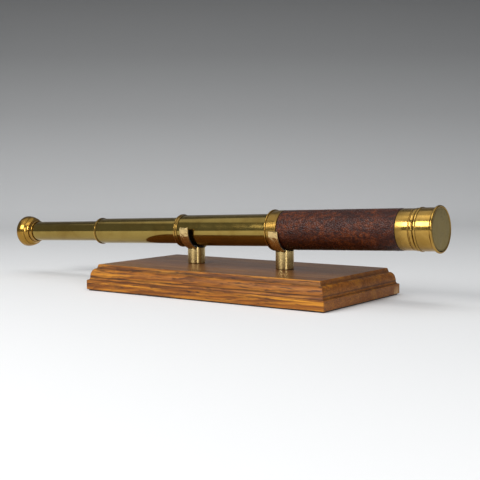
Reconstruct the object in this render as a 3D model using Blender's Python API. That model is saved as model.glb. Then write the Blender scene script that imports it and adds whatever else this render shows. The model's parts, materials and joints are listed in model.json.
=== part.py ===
"""A three-draw brass telescope with a leather-covered barrel, lying in the two
brass cradles of a moulded oak stand.

Blender 4.5, metres, +Z up. The origin is the middle of the stand's underside
and +X runs towards the objective. The telescope leans down towards its
eyepiece by TILT, because the cradle under the draw sits lower than the cradle
under the barrel.

Sizes below are in millimetres. Stations along the telescope are measured on
its own axis from the point above the origin, positive towards the objective.
"""

import math

import bmesh
import bpy
from mathutils import Matrix, Vector

MM = 0.001
GAP = 0.3                 # clearance between pieces that touch
VISIBLE_SIDES = 32        # facets round a piece that is seen
HIDDEN_SIDES = 24         # facets round a piece inside the tubes

# ---- stand ----
PLINTH_LENGTH, PLINTH_WIDTH = 366.0, 188.0
STAND_HEIGHT = 34.5
BAIZE_THICK, BAIZE_INSET = 1.2, 2.5
PLINTH_BOTTOM = BAIZE_THICK + GAP
POST_SPACING = 140.6
POST_RADIUS = 11.55
SCREW_RADIUS, SCREW_HEAD_RADIUS, SCREW_HEAD_HEIGHT = 2.2, 4.5, 3.6
SCREW_HOLE_RADIUS = 2.6
COUNTERBORE_RADIUS, COUNTERBORE_DEPTH = 7.0, 8.0
WASHER_RADIUS, WASHER_THICK = 6.2, 1.0
SCREW_REACH = 12.0        # how far a screw enters its post

# ---- cradles ----
BORE_RADIUS = 25.3        # inside of the felt lining and of the posts' saddles
LINING_THICK = 0.8
STRAP_INSIDE = BORE_RADIUS + LINING_THICK + GAP
STRAP_THICK = 1.6
STRAP_OUTSIDE = STRAP_INSIDE + STRAP_THICK
STRAP_WIDTH = 13.8
LINING_WIDTH = 13.0
ARM_TOP = 83.4            # height of the cradle arms' ends above the table
EAR_TOP = 60.5            # height to which the posts run up beside the straps

# ---- the telescope's axis ----
TILT = math.radians(2.25)
AXIS_HEIGHT = 80.95       # at the origin

# ---- tube radii: outside, inside ----
BARREL = (23.3, 22.3)
DRAW_3 = (20.45, 19.55)
DRAW_2 = (17.45, 16.65)
DRAW_1 = (13.95, 13.2)
LEATHER_RADIUS = 25.0

# ---- stations along the axis ----
BARREL_REAR, BARREL_FRONT = 60.0, 250.0
BARREL_LIP = 55.6         # rear face of the barrel's collar
LEATHER_REAR, LEATHER_FRONT = 73.0, 234.4
DRAW_3_LIP = -93.2        # rear face of each draw's collar
DRAW_2_LIP = -242.0
BELL_NECK = -373.0        # front end of the eye bell
BELL_FACE = -400.2        # rearmost edge of the eye bell
CAP_REAR, CAP_FRONT = 257.2, 281.6
OBJECTIVE_SEAT = 259.6    # rear shoulder that the doublet rests on

GUIDE_LENGTH = 31.0       # sleeve that steadies the draw inside it
STOP_LENGTH = 5.0         # ring that keeps a draw from pulling out
LIP_THICK = 2.0

# ---- eyepiece ----
EYE_HOLE_RADIUS = 3.2
BELL_FLOOR = BELL_FACE + 4.0
SHUTTER_PIVOT = 8.5       # distance of the shutter's pivot above the axis
SHUTTER_THICK = 0.9


# =========================================================== helpers
def clear_scene():
    for old in list(bpy.data.objects):
        bpy.data.objects.remove(old, do_unlink=True)


def material(name, colour, metallic, roughness, alpha=1.0):
    made = bpy.data.materials.new(name)
    made.use_nodes = True
    shader = made.node_tree.nodes["Principled BSDF"]
    shader.inputs["Base Color"].default_value = (*colour, 1.0)
    shader.inputs["Metallic"].default_value = metallic
    shader.inputs["Roughness"].default_value = roughness
    shader.inputs["Alpha"].default_value = alpha
    made.diffuse_color = (*colour, alpha)
    return made


def empty(name, parent=None):
    made = bpy.data.objects.new(name, None)
    bpy.context.scene.collection.objects.link(made)
    made.parent = parent
    return made


def add_object(name, shape, finish, parent):
    """Turns a bmesh in millimetres into an object in metres, facing outwards."""
    bmesh.ops.recalc_face_normals(shape, faces=shape.faces)
    bmesh.ops.scale(shape, vec=(MM, MM, MM), verts=shape.verts)
    mesh = bpy.data.meshes.new(name)
    shape.to_mesh(mesh)
    shape.free()
    mesh.shade_smooth()
    mesh.set_sharp_from_angle(angle=math.radians(35))
    made = bpy.data.objects.new(name, mesh)
    bpy.context.scene.collection.objects.link(made)
    made.parent = parent
    if finish:
        mesh.materials.append(finish)
    return made


def arc(centre, radius, start, end, steps):
    """Points of an arc in a profile, by angle in degrees from +X."""
    turn = [math.radians(start + (end - start) * i / steps) for i in range(steps + 1)]
    return [
        (centre[0] + radius * math.cos(a), centre[1] + radius * math.sin(a))
        for a in turn
    ]


def turned(name, profile, finish, parent, sides=HIDDEN_SIDES):
    """A lathe-turned piece on the X axis. The profile is (station, radius)
    points: a closed loop for a ring, or a line from axis to axis for a solid."""
    shape = bmesh.new()
    solid = profile[0][1] == 0 and profile[-1][1] == 0
    rings = []
    for station, radius in profile:
        if radius == 0:
            rings.append([shape.verts.new((station, 0, 0))])
            continue
        turn = [2 * math.pi * (k + 0.5) / sides for k in range(sides)]
        rings.append([
            shape.verts.new((station, radius * math.cos(a), radius * math.sin(a)))
            for a in turn
        ])
    pairs = list(zip(rings, rings[1:] if solid else rings[1:] + rings[:1]))
    for first, second in pairs:
        for k in range(sides):
            n = (k + 1) % sides
            corners = [first[k % len(first)], first[n % len(first)],
                       second[n % len(second)], second[k % len(second)]]
            shape.faces.new(list(dict.fromkeys(corners)))
    return add_object(name, shape, finish, parent)


def ring(name, rear, front, outside, inside, finish, parent, sides=HIDDEN_SIDES):
    """A plain sleeve between two stations."""
    profile = [(rear, outside), (front, outside), (front, inside), (rear, inside)]
    return turned(name, profile, finish, parent, sides)


def lens_face(station, rim, bulge, steps=3):
    """Points of a spherical surface from the axis out to its rim. Bulge is how
    far its middle stands from its rim, positive towards the objective."""
    if bulge == 0:
        return [(station, 0), (station, rim)]
    curve = (rim * rim + bulge * bulge) / (2 * abs(bulge))
    way = math.copysign(1, bulge)
    heights = [rim * i / steps for i in range(steps + 1)]
    return [
        (station + bulge - way * (curve - math.sqrt(curve * curve - h * h)), h)
        for h in heights
    ]


def lens(name, rear, front, rim, rear_bulge, front_bulge, finish, parent):
    """A lens whose rims stand at the stations rear and front."""
    profile = lens_face(rear, rim, rear_bulge)
    profile += reversed(lens_face(front, rim, front_bulge))
    return turned(name, profile, finish, parent)


def extruded(name, outline, low_x, high_x, finish, parent):
    """A closed outline in the YZ plane, carried along X."""
    shape = bmesh.new()
    ends = [
        [shape.verts.new((x, y, z)) for y, z in outline] for x in (low_x, high_x)
    ]
    for end in ends:
        shape.faces.new(end)
    count = len(outline)
    for k in range(count):
        n = (k + 1) % count
        shape.faces.new([ends[0][k], ends[0][n], ends[1][n], ends[1][k]])
    return add_object(name, shape, finish, parent)


def upright(name, profile, finish, parent, at, sides=HIDDEN_SIDES):
    """A turned piece that stands on Z: its profile is (height, radius)."""
    made = turned(name, profile, finish, parent, sides)
    made.data.transform(Matrix.Rotation(-math.pi / 2, 4, "Y"))
    made.location = Vector(at) * MM
    return made


def cut(target, cutter):
    """Subtracts one object from another with a Boolean that stays in place."""
    cutter.hide_render = True
    cutter.display_type = "WIRE"
    step = target.modifiers.new("cut_" + cutter.name, "BOOLEAN")
    step.operation = "DIFFERENCE"
    step.object = cutter


def cutter_rod(name, start, end, radius, parent, at=(0, 0, 0)):
    """A closed cylinder on X for cutting round holes."""
    profile = [(start, 0), (start, radius), (end, radius), (end, 0)]
    made = turned(name, profile, None, parent)
    made.location = Vector(at) * MM
    return made


# =========================================================== stand
def plinth_profile():
    """(inset, height) round the board's edge, from the underside up: a square
    lower edge, a small hollow, a tall round and a sloping fillet at the top."""
    top_inset, top_drop = 11.6, 0.5
    ledge_inset, ledge_height = 9.6, STAND_HEIGHT - 5.3
    meet_inset, meet_height = 3.4, 17.8
    foot_inset, foot_height = 1.4, 14.3
    arris = 0.8
    steps = 5
    points = [(arris, PLINTH_BOTTOM), (0.0, PLINTH_BOTTOM + arris)]
    points += [(0.0, foot_height - 0.4)]
    for i in range(steps + 1):
        a = math.pi / 2 * i / steps
        inset = foot_inset + (meet_inset - foot_inset) * math.sin(a)
        height = foot_height + (meet_height - foot_height) * (1 - math.cos(a))
        points.append((inset, height))
    for i in range(1, steps + 1):
        a = math.pi / 2 * i / steps
        inset = meet_inset + (ledge_inset - meet_inset) * (1 - math.cos(a))
        height = meet_height + (ledge_height - meet_height) * math.sin(a)
        points.append((inset, height))
    points.append((ledge_inset + 0.4, ledge_height + 0.5))
    points.append((top_inset, STAND_HEIGHT - top_drop))
    points.append((top_inset + 0.5, STAND_HEIGHT))
    return points


def board(name, profile, length, width, finish, parent):
    """A rectangular board whose four mitred edges follow one profile."""
    shape = bmesh.new()
    loops = []
    for inset, height in profile:
        x, y = length / 2 - inset, width / 2 - inset
        corners = [(-x, -y), (x, -y), (x, y), (-x, y)]
        loops.append([shape.verts.new((cx, cy, height)) for cx, cy in corners])
    for low, high in zip(loops, loops[1:]):
        for k in range(4):
            n = (k + 1) % 4
            shape.faces.new([low[k], low[n], high[n], high[k]])
    shape.faces.new(loops[0])
    shape.faces.new(loops[-1])
    return add_object(name, shape, finish, parent)


def build_plinth(stand, oak, felt):
    plinth = board("plinth", plinth_profile(), PLINTH_LENGTH, PLINTH_WIDTH, oak, stand)
    inset = BAIZE_INSET
    edge = [(inset, 0.0), (inset, BAIZE_THICK)]
    board("base_baize", edge, PLINTH_LENGTH, PLINTH_WIDTH, felt, stand)
    return plinth


def u_outline(inside, outside, centre, top, steps=14):
    """A U in the YZ plane with rounded arm ends: centre is the height of the
    bend's axis and top is the height of the ends."""
    nose = (outside - inside) / 2
    middle = inside + nose
    straight = top - nose

    def bend(radius, start, end):
        swept = arc((0, centre), radius, start, end, steps)
        return [(y, min(z, straight)) for y, z in swept]

    points = [(-outside, straight)] + bend(outside, 180, 360) + [(outside, straight)]
    points += arc((middle, straight), nose, 0, 180, 4)[1:-1]
    points += [(inside, straight)] + bend(inside, 360, 180) + [(-inside, straight)]
    points += arc((-middle, straight), nose, 0, 180, 4)[1:-1]
    kept = []
    for point in points:
        if not kept or math.dist(point, kept[-1]) > 0.05:
            kept.append(point)
    return kept


def build_cradle(side, at_x, centre, plinth, stand, brass, felt):
    """One post with its strap, lining, screw and washer. Centre is the height
    of the strap's axis above the table."""
    half = STRAP_WIDTH / 2
    strap = u_outline(STRAP_INSIDE, STRAP_OUTSIDE, centre, ARM_TOP)
    extruded("cradle_" + side, strap, at_x - half, at_x + half, brass, stand)
    half = LINING_WIDTH / 2
    felt_line = u_outline(BORE_RADIUS, BORE_RADIUS + LINING_THICK, centre, ARM_TOP - 2)
    extruded("cradle_lining_" + side, felt_line, at_x - half, at_x + half, felt, stand)

    post_bottom = STAND_HEIGHT + GAP
    blank = [(post_bottom, 0), (post_bottom, POST_RADIUS - 0.4),
             (post_bottom + 0.4, POST_RADIUS), (EAR_TOP, POST_RADIUS), (EAR_TOP, 0)]
    post = upright("post_" + side, blank, brass, stand, (at_x, 0, 0))
    at = (at_x, 0, centre)
    reach = POST_RADIUS + 5
    cut(post, cutter_rod("saddle_" + side, -reach, reach, BORE_RADIUS, stand, at))
    seat = STRAP_WIDTH / 2 + GAP
    cut(post, cutter_rod("seat_" + side, -seat, seat, STRAP_OUTSIDE + GAP, stand, at))

    roof = PLINTH_BOTTOM + COUNTERBORE_DEPTH
    washer_low = roof - GAP - WASHER_THICK
    head_top = washer_low - GAP
    tip = STAND_HEIGHT + SCREW_REACH
    hole = [(-5, 0), (-5, COUNTERBORE_RADIUS), (roof, COUNTERBORE_RADIUS),
            (roof, SCREW_HOLE_RADIUS), (tip + 1.5, SCREW_HOLE_RADIUS), (tip + 1.5, 0)]
    drill = upright("drill_" + side, hole, None, stand, (at_x, 0, 0))
    cut(plinth, drill)
    cut(post, drill)
    screw = [(head_top - SCREW_HEAD_HEIGHT, 0),
             (head_top - SCREW_HEAD_HEIGHT, SCREW_HEAD_RADIUS - 0.8),
             (head_top - SCREW_HEAD_HEIGHT + 0.8, SCREW_HEAD_RADIUS),
             (head_top, SCREW_HEAD_RADIUS), (head_top, SCREW_RADIUS),
             (tip - 1, SCREW_RADIUS), (tip, SCREW_RADIUS - 1), (tip, 0)]
    made = upright("post_screw_" + side, screw, brass, stand, (at_x, 0, 0), 20)
    slot_half, slot_depth = 0.6, 1.6
    low = head_top - SCREW_HEAD_HEIGHT - 2
    outline = [(-slot_half, low), (slot_half, low),
               (slot_half, low + 2 + slot_depth), (-slot_half, low + 2 + slot_depth)]
    reach = SCREW_HEAD_RADIUS + 2
    cut(made, extruded("slot_" + side, outline, at_x - reach, at_x + reach, None, stand))
    washer = [(washer_low, WASHER_RADIUS), (washer_low + WASHER_THICK, WASHER_RADIUS),
              (washer_low + WASHER_THICK, SCREW_HOLE_RADIUS),
              (washer_low, SCREW_HOLE_RADIUS)]
    upright("post_washer_" + side, washer, brass, stand, (at_x, 0, 0), 20)


def cradle_height(at_x, rear_radius):
    """Height of a cradle's axis that leaves GAP under a turned piece of that
    radius, at the post's lower, rear side."""
    rear = at_x - POST_RADIUS
    axis = AXIS_HEIGHT + rear * math.tan(TILT)
    return axis - rear_radius / math.cos(TILT) - GAP + BORE_RADIUS


# =========================================================== telescope
def collar_profile(rear, lip, drum, front, end_radius, tube, bore):
    """The end collar of a tube: a rounded lip with a short foot that tapers on
    to the tube. Tube is the tube's radius and bore is the collar's hole."""
    floor = rear + LIP_THICK + 0.3
    soft = 0.5
    return [
        (rear, bore), (rear, lip - soft), (rear + soft, lip),
        (rear + LIP_THICK - soft, lip), (rear + LIP_THICK, lip - soft),
        (rear + LIP_THICK + 0.2, drum),
        (rear + 0.5 * (LIP_THICK + front), 0.4 * drum + 0.6 * end_radius),
        (rear + front, end_radius),
        (rear + front, tube + GAP), (floor, tube + GAP), (floor, bore),
    ]


def build_barrel(barrel, brass, leather, glass):
    ring("barrel_tube", BARREL_REAR, BARREL_FRONT, *BARREL, brass, barrel,
         VISIBLE_SIDES)
    ring("barrel_leather", LEATHER_REAR, LEATHER_FRONT, LEATHER_RADIUS,
         BARREL[0] + GAP, leather, barrel, VISIBLE_SIDES)
    bore = DRAW_3[0] + GAP
    lip, drum = 26.1, 24.9
    front = LEATHER_REAR - GAP
    floor = BARREL_REAR - GAP
    collar = [
        (BARREL_LIP, bore), (BARREL_LIP, lip - 0.6), (BARREL_LIP + 0.6, lip),
        (BARREL_LIP + 1.2, lip), (BARREL_LIP + 1.7, lip - 0.6),
        (BARREL_LIP + 1.8, drum - 0.3), (BARREL_LIP + 2.3, drum),
        (front - 0.3, drum), (front, drum - 0.3), (front, BARREL[0] + GAP),
        (floor, BARREL[0] + GAP), (floor, bore),
    ]
    turned("barrel_rear_collar", collar, brass, barrel, VISIBLE_SIDES)
    rear = BARREL_REAR + GAP
    ring("barrel_guide", rear, rear + GUIDE_LENGTH, BARREL[1] - GAP, bore, brass, barrel)

    rear, front = LEATHER_FRONT + GAP, 256.2
    outside, bead = 24.42, 24.9
    face = [
        (rear, BARREL[0] + GAP), (rear, outside), (250.4, outside),
        (250.8, outside - 0.4), (251.3, outside - 0.4), (251.7, outside),
        (252.4, bead - 0.1), (253.6, bead), (254.8, bead - 0.1), (255.8, outside - 0.3),
        (front, outside - 0.9), (front, BARREL[1]),
        (BARREL_FRONT + GAP, BARREL[1]), (BARREL_FRONT + GAP, BARREL[0] + GAP),
    ]
    turned("barrel_front_ring", face, brass, barrel, VISIBLE_SIDES)

    spigot, body, seat, lens_radius = 21.9, 23.5, 21.1, 20.8
    cell = [
        (245.0, spigot), (256.5, spigot), (256.5, body - 0.4), (256.9, body),
        (273.9, body), (274.5, body - 0.6), (274.5, seat), (OBJECTIVE_SEAT, seat),
        (OBJECTIVE_SEAT, 19.6), (245.0, 19.6),
    ]
    turned("objective_cell", cell, brass, barrel)
    rear = OBJECTIVE_SEAT + GAP
    middle = rear + 3.6
    lens("objective_flint", rear, middle, lens_radius, 0, -0.8, glass, barrel)
    lens("objective_crown", middle + GAP, middle + 2.6, lens_radius, -0.8, 0.8, glass,
         barrel)
    rear = middle + 2.6 + GAP
    ring("objective_retainer", rear, rear + 2.4, lens_radius, 19.4, brass, barrel)


def build_cap(cap, brass):
    inside, outside, bead, flange, ledge = 23.85, 25.13, 25.9, 27.6, 22.4
    disc_rear, disc_thick, disc_radius = 279.9, 1.1, 24.6
    shell = [
        (CAP_REAR, inside), (CAP_REAR, bead - 0.8), (CAP_REAR + 0.5, bead - 0.1),
        (CAP_REAR + 1.4, bead), (CAP_REAR + 2.3, bead - 0.2), (CAP_REAR + 3.0, outside),
        (277.4, outside), (278.0, outside + 0.3),
    ]
    shell += arc((279.8, flange - 1.6), 1.6, 170, 0, 5)
    shell += [(CAP_FRONT - 0.4, disc_radius + 0.6), (CAP_FRONT - 0.6, disc_radius + GAP),
              (disc_rear - GAP, disc_radius + GAP), (disc_rear - GAP, ledge),
              (276.6, ledge), (276.6, inside)]
    turned("cap_shell", shell, brass, cap, VISIBLE_SIDES)
    disc = [(disc_rear, 0), (disc_rear, disc_radius),
            (disc_rear + disc_thick, disc_radius), (disc_rear + disc_thick, 0)]
    turned("cap_disc", disc, brass, cap, VISIBLE_SIDES)


def build_draw(number, tube, inner, lip_rear, lip, foot, parent, brass):
    """One draw tube with its collar, and the guide for the draw inside it. Foot
    is the collar's radius behind its lip, its length and its radius in front."""
    name = f"draw_{number}_"
    front = lip_rear + DRAW_LENGTH[number]
    bore = inner[0] + GAP
    rear = lip_rear + LIP_THICK + 0.3 + GAP
    turned(name + "collar", collar_profile(lip_rear, lip, *foot, tube[0], bore),
           brass, parent, VISIBLE_SIDES)
    ring(name + "tube", rear, front, *tube, brass, parent, VISIBLE_SIDES)
    ring(name + "guide", rear + GAP, rear + GAP + GUIDE_LENGTH, tube[1] - GAP, bore,
         brass, parent)


def build_stop(number, front, tube, outer, parent, brass):
    """The ring on a draw's front end, inside the tube that it slides in."""
    ring(f"draw_{number}_stop", front - STOP_LENGTH - 0.5, front - 0.5,
         outer[1] - GAP - 0.05, tube[0] + GAP, brass, parent)


def guide_front(lip_rear):
    """Station where the guide inside a draw's collar ends."""
    return lip_rear + LIP_THICK + 0.3 + 2 * GAP + GUIDE_LENGTH


# Each draw reaches past the guide around it by its stop ring.
OVERHANG = STOP_LENGTH + 0.5 + GAP
DRAW_LENGTH = {
    3: BARREL_REAR + GAP + GUIDE_LENGTH + OVERHANG - DRAW_3_LIP,
    2: guide_front(DRAW_3_LIP) + OVERHANG - DRAW_2_LIP,
}


def bell_profile():
    """The mushroom-shaped eye end: a neck on the tube, a hollow shoulder, a
    groove and a heavy round rim that rolls over into a shallow recess."""
    shoulder, groove = BELL_NECK - 6.2, BELL_NECK - 11.8
    ahead, behind = 10.4, 5.4
    rim = BELL_FACE + behind
    core, high = 18.0, 4.8
    profile = [
        (BELL_NECK, DRAW_1[0] + GAP), (BELL_NECK, 15.0), (BELL_NECK - 0.6, 15.6),
        (shoulder + 1.0, 15.6), (shoulder + 0.6, 15.1), (shoulder, 15.1),
        (shoulder - 0.2, 16.6), (shoulder - 1.4, 17.2), (shoulder - 2.8, 18.2),
        (shoulder - 4.2, 19.8), (groove + 1.0, 20.2), (groove + 0.8, 19.9),
        (groove, 19.9), (groove - 0.4, 20.6),
    ]
    profile += [(rim + ahead * math.cos(math.radians(a)),
                 core + high * math.sin(math.radians(a)))
                for a in (43, 60, 75, 90)]
    profile += [(rim + behind * math.cos(math.radians(a)),
                 core + high * math.sin(math.radians(a)))
                for a in (115, 135, 155, 180)]
    profile += [
        (BELL_FACE + 0.5, 17.3), (BELL_FLOOR - 0.5, 16.6), (BELL_FLOOR, 16.1),
        (BELL_FLOOR, EYE_HOLE_RADIUS), (BELL_FLOOR + 2.0, EYE_HOLE_RADIUS),
        (BELL_FLOOR + 5.6, 7.0), (BELL_FLOOR + 5.6, 11.0), (BELL_FLOOR + 8.0, 11.0),
        (BELL_FLOOR + 8.0, DRAW_1[0] + GAP),
    ]
    return profile


def build_eyepiece(draw, brass, blackened, glass):
    tube_rear = BELL_FLOOR + 8.0 + GAP
    front = guide_front(DRAW_2_LIP) + OVERHANG
    ring("draw_1_tube", tube_rear, front, *DRAW_1, brass, draw, VISIBLE_SIDES)
    build_stop(1, front, DRAW_1, DRAW_2, draw, brass)

    bell = turned("eye_bell", bell_profile(), brass, draw, VISIBLE_SIDES)
    pivot = (0, 0, SHUTTER_PIVOT)
    cut(bell, cutter_rod("pivot_hole", BELL_FLOOR - 1, BELL_FLOOR + 4.0, 1.3, draw, pivot))
    screw = [
        (BELL_FLOOR - 2.6, 0), (BELL_FLOOR - 2.6, 1.5), (BELL_FLOOR - 2.2, 2.0),
        (BELL_FLOOR - SHUTTER_THICK - 2 * GAP, 2.0),
        (BELL_FLOOR - SHUTTER_THICK - 2 * GAP, 0.9), (BELL_FLOOR + 3.5, 0.9),
        (BELL_FLOOR + 3.5, 0),
    ]
    made = turned("shutter_screw", screw, brass, draw, 16)
    made.location = Vector(pivot) * MM

    cell_out, cell_in, lens_radius = DRAW_1[1] - GAP, 11.9, 11.5
    rear = tube_rear + GAP
    ring("eyepiece_tube", rear, rear + 58.0, cell_out, cell_in, blackened, draw)
    cell = rear + 4.0
    eye_cell = [(cell, lens_radius), (cell + 7.0, lens_radius), (cell + 7.0, 8.3),
                (cell + 1.6, 8.3), (cell + 1.6, 6.6), (cell, 6.6)]
    turned("eye_lens_cell", eye_cell, brass, draw)
    lens("eye_lens", cell + 1.6 + GAP, cell + 3.4, 8.0, 0, 2.0, glass, draw)
    ring("field_stop", rear + 26.0, rear + 27.2, lens_radius, 6.0, blackened, draw)
    lens("field_lens", rear + 50.0, rear + 51.8, lens_radius, 0, 2.4, glass, draw)
    ring("field_lens_retainer", rear + 54.6, rear + 57.0, lens_radius, 10.0, blackened,
         draw)

    rear, end = front - 84.0, front - 1.0
    ring("erector_tube", rear, end, cell_out, cell_in, blackened, draw)
    ring("erector_rear_retainer", rear + 0.6, rear + 3.0, lens_radius, 10.0, blackened,
         draw)
    lens("erector_rear_lens", rear + 6.2, rear + 8.0, lens_radius, -2.2, 0, glass, draw)
    ring("erector_stop", rear + 34.0, rear + 35.2, lens_radius, 2.4, blackened, draw)
    lens("erector_front_lens", end - 9.0, end - 7.2, lens_radius, 0, 2.2, glass, draw)
    ring("erector_front_retainer", end - 4.2, end - 1.8, lens_radius, 10.0, blackened,
         draw)


def build_shutter(draw, brass):
    """The dust cover that swings off the eye hole. Its origin is its pivot."""
    hinge = empty("shutter", draw)
    hinge.location = Vector((0, 0, SHUTTER_PIVOT)) * MM
    cover, ear, hole = 4.6, 2.6, 1.2
    steps = 10
    outline = []
    tangent = math.degrees(math.asin((cover - ear) / SHUTTER_PIVOT))
    outline += arc((0, 0), ear, tangent, 180 - tangent, steps // 2)
    outline += arc((0, -SHUTTER_PIVOT), cover, 180 - tangent, 360 + tangent, 2 * steps)
    front = BELL_FLOOR - GAP
    plate = extruded("eye_shutter", outline, front - SHUTTER_THICK, front, brass, hinge)
    cut(plate, cutter_rod("shutter_hole", front - 3, front + 3, hole, hinge))


def main():
    clear_scene()
    brass = material("brass", (0.62, 0.43, 0.14), 1.0, 0.22)
    oak = material("oak", (0.36, 0.16, 0.05), 0.0, 0.35)
    leather = material("leather", (0.13, 0.035, 0.018), 0.0, 0.5)
    felt = material("felt", (0.012, 0.012, 0.013), 0.0, 0.95)
    glass = material("glass", (0.86, 0.92, 0.9), 0.0, 0.03, 0.35)
    blackened = material("blackened_brass", (0.03, 0.028, 0.025), 0.6, 0.6)

    stand = empty("stand")
    plinth = build_plinth(stand, oak, felt)
    lip_3 = 21.9
    half = POST_SPACING / 2
    for side, at_x, rests in (("left", -half, lip_3), ("right", half, 24.9)):
        centre = cradle_height(at_x, rests)
        build_cradle(side, at_x, centre, plinth, stand, brass, felt)

    barrel = empty("barrel")
    barrel.location = (0, 0, AXIS_HEIGHT * MM)
    barrel.rotation_euler = (0, -TILT, 0)
    build_barrel(barrel, brass, leather, glass)
    build_cap(empty("dust_cap", barrel), brass)

    draw_3 = empty("draw_3", barrel)
    build_draw(3, DRAW_3, DRAW_2, DRAW_3_LIP, lip_3, (21.3, 6.0, 20.95), draw_3, brass)
    build_stop(3, DRAW_3_LIP + DRAW_LENGTH[3], DRAW_3, BARREL, draw_3, brass)
    draw_2 = empty("draw_2", draw_3)
    build_draw(2, DRAW_2, DRAW_1, DRAW_2_LIP, 18.6, (18.05, 3.4, 17.95), draw_2, brass)
    build_stop(2, DRAW_2_LIP + DRAW_LENGTH[2], DRAW_2, DRAW_3, draw_2, brass)
    draw_1 = empty("draw_1", draw_2)
    build_eyepiece(draw_1, brass, blackened, glass)
    build_shutter(draw_1, brass)


main()
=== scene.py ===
"""The looks of the three-draw telescope and its stand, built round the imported
CAD model. Every visible turned piece is a finely divided lathe form in the
telescope's own frame, with the same sections as the CAD pieces it replaces.

Lengths in the section tables are millimetres, in the same stations as the CAD.
"""

import json
import math

import bmesh
import bpy
import numpy as np
from mathutils import Matrix, Vector, noise


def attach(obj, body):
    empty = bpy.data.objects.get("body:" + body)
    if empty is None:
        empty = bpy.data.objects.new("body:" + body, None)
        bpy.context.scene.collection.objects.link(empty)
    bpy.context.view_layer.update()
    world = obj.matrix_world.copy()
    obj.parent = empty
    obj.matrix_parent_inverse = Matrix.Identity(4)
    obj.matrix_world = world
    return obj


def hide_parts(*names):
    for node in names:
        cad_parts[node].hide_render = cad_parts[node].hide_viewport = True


MM = 0.001
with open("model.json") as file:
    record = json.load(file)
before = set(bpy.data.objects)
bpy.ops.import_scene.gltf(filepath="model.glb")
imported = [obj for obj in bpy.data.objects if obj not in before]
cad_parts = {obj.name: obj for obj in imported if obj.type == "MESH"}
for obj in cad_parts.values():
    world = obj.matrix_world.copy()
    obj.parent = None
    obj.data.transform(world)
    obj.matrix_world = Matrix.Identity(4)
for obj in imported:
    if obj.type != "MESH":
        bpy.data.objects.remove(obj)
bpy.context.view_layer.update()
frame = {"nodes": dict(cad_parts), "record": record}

# ---- sizes shared with the CAD model, in millimetres ----
GAP = 0.3
TILT = math.radians(2.25)
AXIS_HEIGHT = 80.95
PLINTH_LENGTH, PLINTH_WIDTH, STAND_HEIGHT = 366.0, 188.0, 34.5
PLINTH_BOTTOM = 1.5
POST_HALF_SPACING, POST_RADIUS = 70.3, 11.55
BORE_RADIUS, LINING_THICK, STRAP_THICK = 25.3, 0.8, 1.6
STRAP_WIDTH, LINING_WIDTH = 13.8, 13.0
ARM_TOP, EAR_TOP = 83.4, 60.5
BARREL, DRAW_3, DRAW_2, DRAW_1 = 23.3, 20.45, 17.45, 13.95
LEATHER_REAR, LEATHER_FRONT, LEATHER_RADIUS = 73.0, 234.4, 25.0
BARREL_LIP, BARREL_REAR = 55.6, 60.0
DRAW_3_LIP, DRAW_2_LIP = -93.2, -242.0
BELL_NECK, BELL_FACE = -373.0, -400.2
CAP_REAR, CAP_FRONT = 257.2, 281.6
OBJECTIVE_SEAT = 259.6
BARREL_DRUM, DRAW_3_LIP_RADIUS = 24.9, 21.9
DRAW_3_FRONT, DRAW_2_FRONT, DRAW_1_FRONT = 97.1, -53.5, -202.3
DRAW_3_BORE, DRAW_2_BORE, DRAW_1_BORE = 19.55, 16.65, 13.2
LIP_THICK, COLLAR_FLOOR = 2.0, 0.3
EYE_HOLE_RADIUS, SHUTTER_PIVOT, SHUTTER_THICK = 3.2, 8.5, 0.9
BELL_FLOOR = BELL_FACE + 4.0

TUBE_BORE = 22.3                          # of the barrel tube
EYE_WELL, EYE_SEAT = 5.6, 8.0             # depths behind the eye end's floor

# ---- the camera: metres, degrees and millimetres of lens ----
CAMERA_PLACE = (0.7448, -1.0372, 0.1710)
CAMERA_YAW, CAMERA_PITCH, CAMERA_ROLL = 35.63, 4.60, -0.37
LENS_LENGTH, SENSOR_WIDTH = 74.2, 36.0

TELESCOPE = Matrix.Translation((0, 0, AXIS_HEIGHT * MM)) @ Matrix.Rotation(-TILT, 4, "Y")
ROUND = 160               # divisions round a turned piece
BOARD_LONG, BOARD_SHORT = 150, 76         # divisions along the board's sides


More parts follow.
